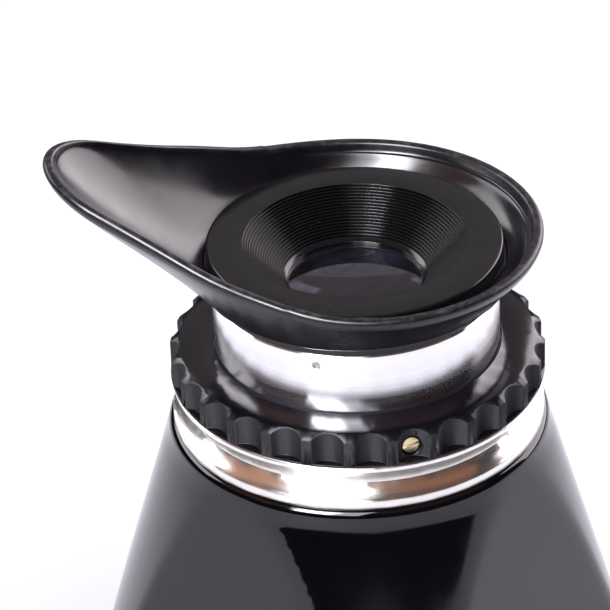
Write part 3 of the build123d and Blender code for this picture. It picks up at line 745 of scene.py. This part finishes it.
def floor():
    """A pale sheet to stand on."""
    half, z = FLOOR_HALF, -FLOOR_DROP
    corners = [(-half, -half, z), (half, -half, z), (half, half, z), (-half, half, z)]
    obj = mesh_object("floor", corners, [(0, 1, 2, 3)])
    paint = Paint("pale_floor", (0.88, 0.87, 0.96), 0.6)
    paint.set("Specular IOR Level", 0.2)
    obj.data.materials.append(paint.material)


def toward(azimuth, elevation):
    """Unit vector from angles in degrees. Azimuth 0 is the camera's, positive to its right."""
    a = math.radians(VIEW_AZIMUTH + azimuth)
    e = math.radians(elevation)
    return Vector((math.sin(a) * math.cos(e), -math.cos(a) * math.cos(e), math.sin(e)))


def look_at_neck(obj, azimuth, elevation, distance):
    """Put a lamp in a direction from the neck of the hood, facing it."""
    out = toward(azimuth, elevation)
    obj.location = Vector((0, 0, ring_top)) + out * distance
    obj.rotation_mode = "QUATERNION"
    obj.rotation_quaternion = out.to_track_quat("Z", "Y")


def soft_light(name, place, size, radiance, color=(1, 1, 1), glossy=False, diffuse=False):
    """A rectangular lamp of a given brightness. place is its azimuth, elevation and distance."""
    data = bpy.data.lights.new(name, "AREA")
    data.shape = "RECTANGLE"
    data.size, data.size_y = size
    data.energy = radiance * math.pi * data.size * data.size_y
    data.color = color
    obj = bpy.data.objects.new(name, data)
    look_at_neck(obj, *place)
    obj.visible_camera = False
    obj.visible_glossy = glossy
    obj.visible_diffuse = diffuse
    bpy.context.scene.collection.objects.link(obj)


def room():
    """A dim room for the reflections, and pale behind the object."""
    world = bpy.data.worlds.new("room")
    bpy.context.scene.world = world
    world.use_nodes = True
    tree = world.node_tree
    back = tree.nodes["Background"]
    back.inputs["Color"].default_value = (0.025, 0.022, 0.024, 1)
    pale = tree.nodes.new("ShaderNodeBackground")
    pale.inputs["Color"].default_value = (1.0, 1.0, 1.0, 1)
    ray = tree.nodes.new("ShaderNodeLightPath")
    mix = tree.nodes.new("ShaderNodeMixShader")
    tree.links.new(ray.outputs["Is Camera Ray"], mix.inputs[0])
    tree.links.new(back.outputs[0], mix.inputs[1])
    tree.links.new(pale.outputs[0], mix.inputs[2])
    tree.links.new(mix.outputs[0], tree.nodes["World Output"].inputs[0])


floor()
room()
# one lamp lights the matt surfaces, and the others show only in the gloss
soft_light("overhead", (180, 84, 1.3), (1.8, 1.8), 3.5, diffuse=True)
for lamp in (
    ("window", (-21, 42, 1.0), (0.66, 0.66), 8.0, (0.95, 0.93, 1.0)),
    ("window_core", (-29, 40, 0.95), (0.33, 0.48), 34.0, (0.95, 0.94, 1.0)),
    ("right_wall", (130, 20, 1.1), (1.14, 0.75), 4.8, (1.0, 0.92, 0.97)),
    ("left_wall", (-122, 31, 1.1), (0.90, 0.40), 5.0, (1.0, 0.97, 1.0)),
    ("warm_left", (-76, 40, 1.0), (0.72, 0.5), 0.45, (1.0, 0.48, 0.28)),
    ("warm_right", (46, 48, 1.0), (1.1, 0.5), 0.24, (1.0, 0.42, 0.20)),
    ("back_wall", (178, 34, 1.2), (1.3, 0.7), 0.30, (1.0, 0.88, 0.90)),
):
    soft_light(*lamp, glossy=True)


# --------------------------------------------------------------------- camera
FOCAL_WIDTHS = 6.239344  # focal length, in widths of the picture
VIEW_DISTANCE = 0.6
VIEW_ROLL = math.radians(1.53)
PAN_WIDTHS = 0.0852  # the ring lands this far right of the middle
TILT_WIDTHS = 0.0492  # and this far below it


def camera():
    """Long lens from above the front corner, rolled slightly."""
    data = bpy.data.cameras.new("camera")
    data.sensor_width = 36
    data.lens = FOCAL_WIDTHS * data.sensor_width
    data.clip_start = 0.05
    obj = bpy.data.objects.new("camera", data)
    out = toward(0, VIEW_ELEVATION)
    azimuth = math.radians(VIEW_AZIMUTH)
    right = Vector((math.cos(azimuth), math.sin(azimuth), 0))
    up = out.cross(right)
    right_rolled = right * math.cos(VIEW_ROLL) - up * math.sin(VIEW_ROLL)
    up_rolled = right * math.sin(VIEW_ROLL) + up * math.cos(VIEW_ROLL)
    basis = Matrix((right_rolled, up_rolled, out)).transposed()
    pan = math.atan(PAN_WIDTHS / FOCAL_WIDTHS)
    tilt = math.atan(TILT_WIDTHS / FOCAL_WIDTHS)
    turn = Matrix.Rotation(pan, 3, "Y") @ Matrix.Rotation(tilt, 3, "X")
    obj.rotation_mode = "QUATERNION"
    obj.rotation_quaternion = (basis @ turn).to_quaternion()
    obj.location = Vector((0, 0, ring_top)) + out * VIEW_DISTANCE
    bpy.context.scene.collection.objects.link(obj)
    bpy.context.scene.camera = obj


camera()
bpy.context.scene.view_settings.view_transform = "Standard"
